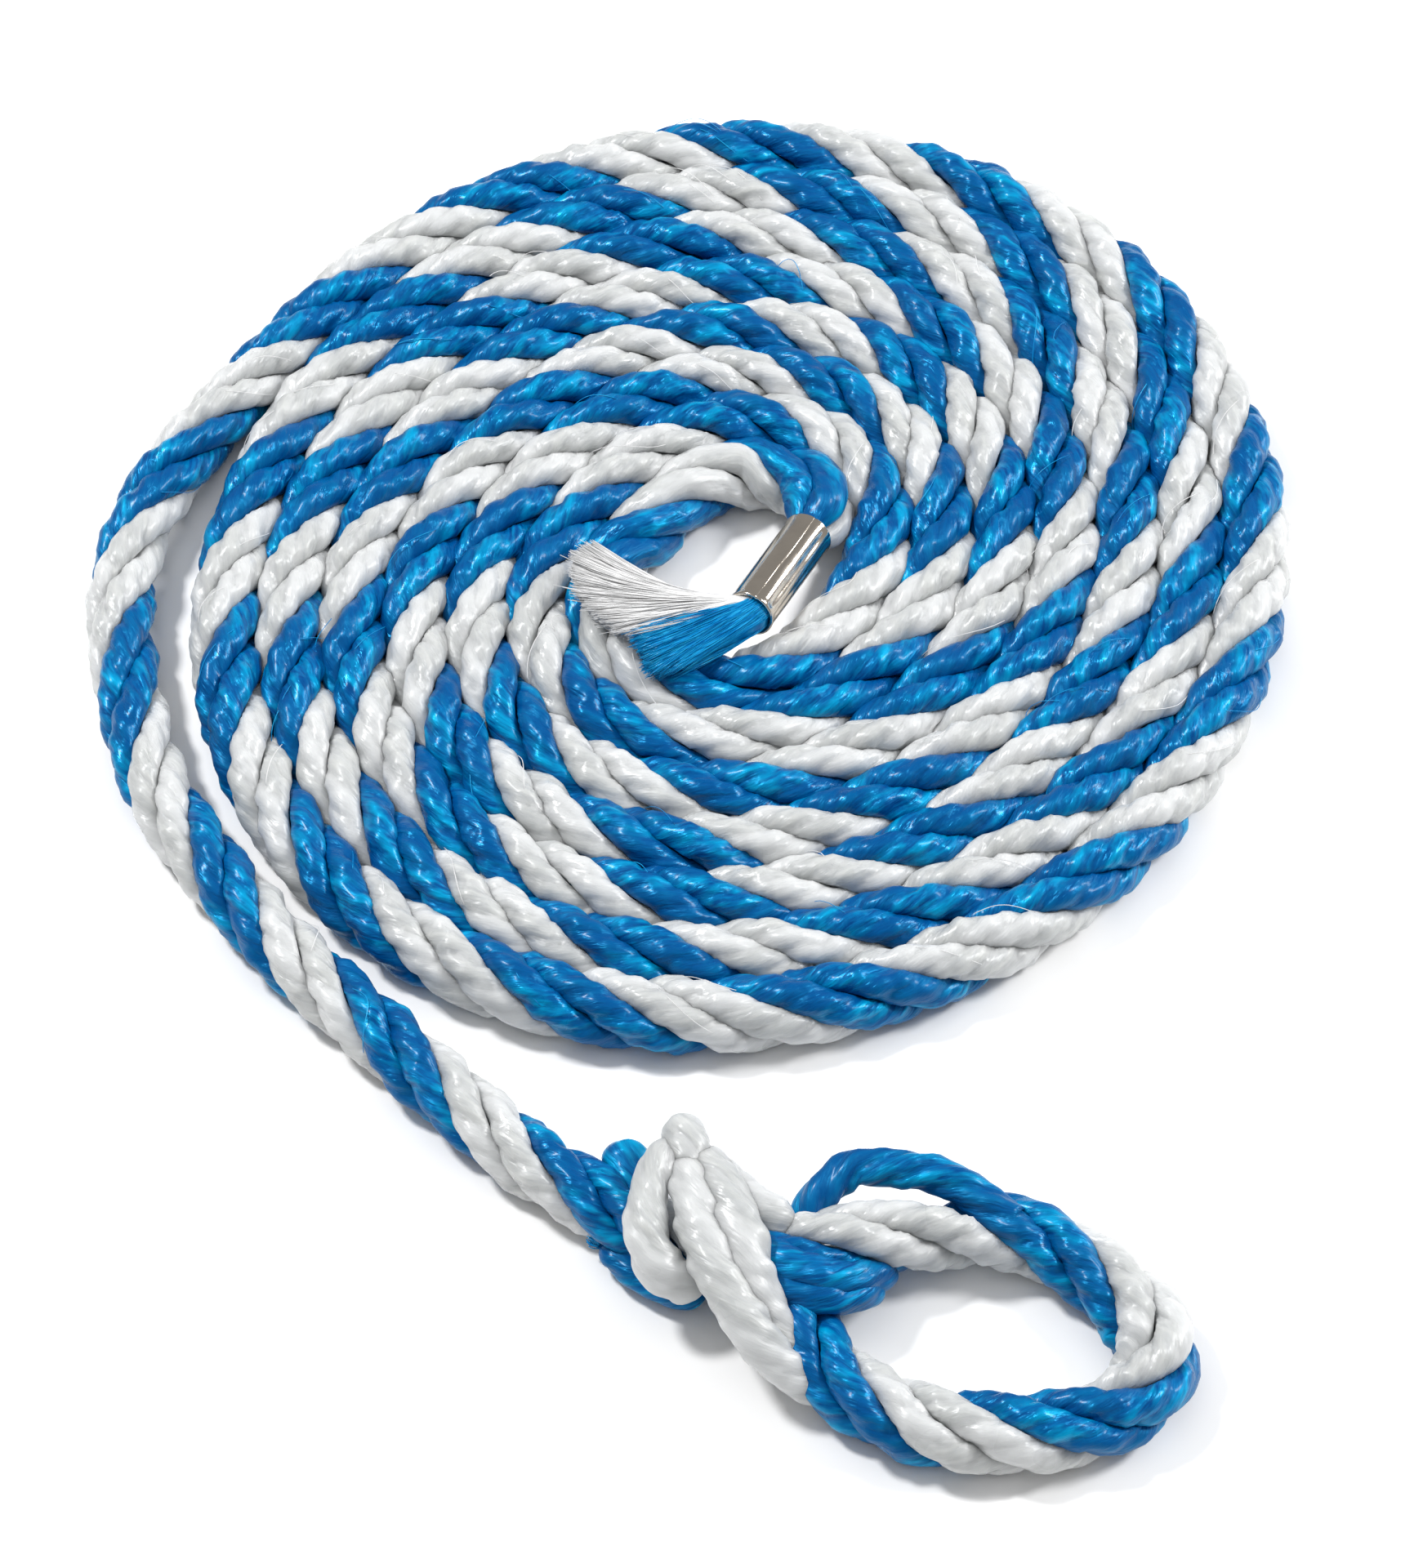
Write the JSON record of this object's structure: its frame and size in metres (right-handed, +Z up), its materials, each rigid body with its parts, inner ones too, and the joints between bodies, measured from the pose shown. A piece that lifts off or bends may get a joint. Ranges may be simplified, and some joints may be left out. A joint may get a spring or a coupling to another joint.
{
  "type": "coiled dock line",
  "caption": "laid four-strand mooring rope lying in a flat spiral coil, with a spliced eye at the outer end and a crimped metal ferrule with cut strand ends at the inner end",
  "frame": {"origin": "middle of the underside of the whole line's box, on the surface that it lies on", "axes": "+Z up through the coil's flat thickness, +X across, +Y from the spliced eye towards the coil"},
  "size_m": [0.1674, 0.2204, 0.0149],
  "materials": {
    "blue_and_white_rope": "glossy multifilament polypropylene, two strands blue and two white",
    "blue_strand": "glossy multifilament polypropylene",
    "white_strand": "glossy multifilament polypropylene",
    "ferrule_metal": "bright nickel plate"
  },
  "bodies": {
    "root": {"coil": "blue_and_white_rope", "innermost_turn": "blue_and_white_rope", "end_bend": "blue_and_white_rope", "ferrule": "ferrule_metal", "crimped_strands": "white_strand", "white_tuft": "white_strand", "blue_tuft": "blue_strand", "lead": "blue_and_white_rope", "splice_throat": "blue_and_white_rope", "eye_loop": "blue_and_white_rope", "white_wrap": "white_strand", "white_lay_1": "white_strand", "white_lay_2": "white_strand", "blue_wrap": "blue_strand", "blue_cut_end": "blue_strand", "blue_nub": "blue_strand"}
  },
  "joints": []
}
